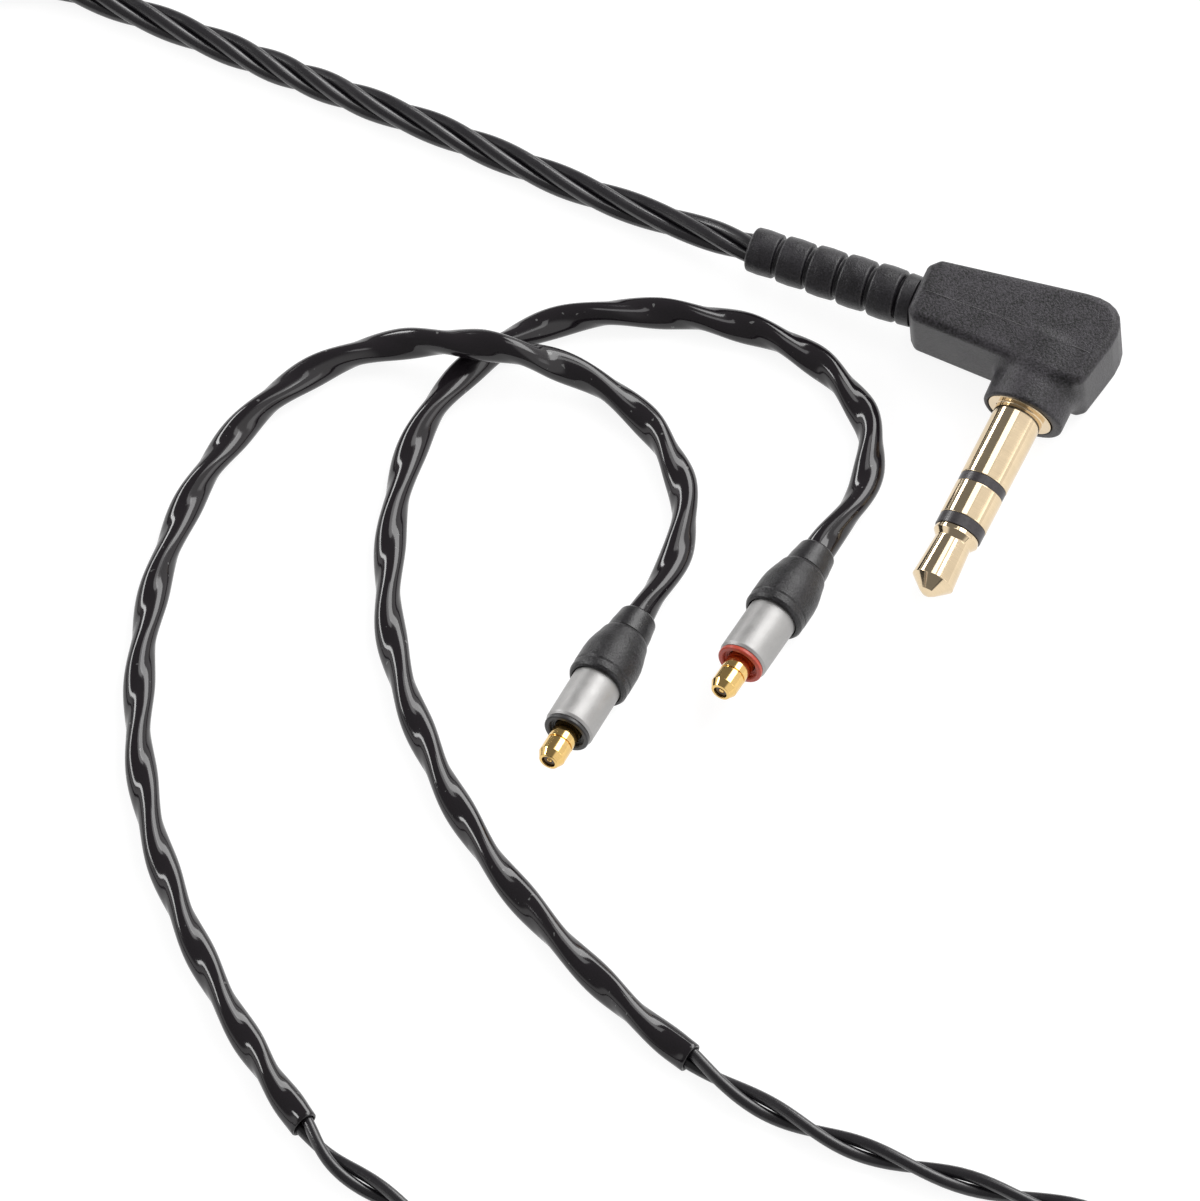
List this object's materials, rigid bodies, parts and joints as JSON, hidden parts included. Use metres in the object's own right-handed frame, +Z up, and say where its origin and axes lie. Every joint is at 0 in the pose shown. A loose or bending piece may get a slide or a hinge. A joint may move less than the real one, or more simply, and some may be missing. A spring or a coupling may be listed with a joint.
{
  "type": "detachable in-ear monitor cable",
  "caption": "Twisted earphone cable with a right-angle jack plug, ear-hook legs ending in coaxial connectors, a Y-split and a sliding chin bead.",
  "frame": {"origin": "centre of the footprint of the rigid pieces (plug, connectors, Y-split and slider), on the surface that the cable lies on", "axes": "+Z up from the surface; +Y from the Y-split towards the plug; +X along the Y-split towards the ear legs"},
  "size_m": [0.0982, 0.148, 0.0067],
  "materials": {
    "moulded_black": "fine-grained satin black moulding",
    "black_collar": "satin black moulded ring",
    "red_collar": "satin red moulded ring",
    "cord_jacket": "smooth satin black insulation",
    "ear_hook_tube": "high-gloss black formed tubing",
    "pale_gold": "polished pale gold plating",
    "warm_gold": "polished warm gold plating",
    "sleeve_aluminium": "satin turned aluminium",
    "plain_brass": "plain brass or copper",
    "wire_black": "black wire insulation",
    "wire_red": "red wire insulation",
    "natural_plastic": "natural white plastic"
  },
  "bodies": {
    "cable": {"crimp_ferrule": "plain_brass", "front_insulator": "moulded_black", "jack_sleeve": "pale_gold", "left_boot": "moulded_black", "left_centre_contact": "warm_gold", "left_collar_ring": "black_collar", "left_ear_hook": "ear_hook_tube", "left_inner_crimp": "plain_brass", "left_leg_coil": "cord_jacket", "left_leg_lower": "cord_jacket", "left_leg_upper": "cord_jacket", "left_neck_collar": "ear_hook_tube", "left_pin_insulator": "moulded_black", "left_pin_shell": "warm_gold", "left_return_wire": "plain_brass", "left_signal_wire": "wire_black", "left_sleeve": "sleeve_aluminium", "plug_overmould": "moulded_black", "rear_insulator": "moulded_black", "right_boot": "moulded_black", "right_centre_contact": "warm_gold", "right_collar_ring": "red_collar", "right_ear_hook": "ear_hook_tube", "right_inner_crimp": "plain_brass", "right_leg_coil": "cord_jacket", "right_leg_lower": "cord_jacket", "right_leg_upper": "cord_jacket", "right_neck_collar": "ear_hook_tube", "right_pin_insulator": "moulded_black", "right_pin_shell": "warm_gold", "right_return_wire": "plain_brass", "right_signal_wire": "wire_red", "right_sleeve": "sleeve_aluminium", "ring_contact": "pale_gold", "ring_solder_tag": "plain_brass", "sleeve_solder_tag": "plain_brass", "strain_relief": "moulded_black", "tip_contact": "pale_gold", "trunk_coil": "cord_jacket", "trunk_lead": "cord_jacket", "trunk_tail": "cord_jacket", "ysplit_lower_shell": "moulded_black", "ysplit_splice_block": "natural_plastic", "ysplit_upper_shell": "moulded_black"},
    "slider": {"chin_slider": "moulded_black"}
  },
  "joints": [
    {"name": "slider_slide", "type": "slide", "parent": "cable", "child": "slider", "axis": [1, 0, 0], "range_m": [-0.0055, 0.009]}
  ]
}
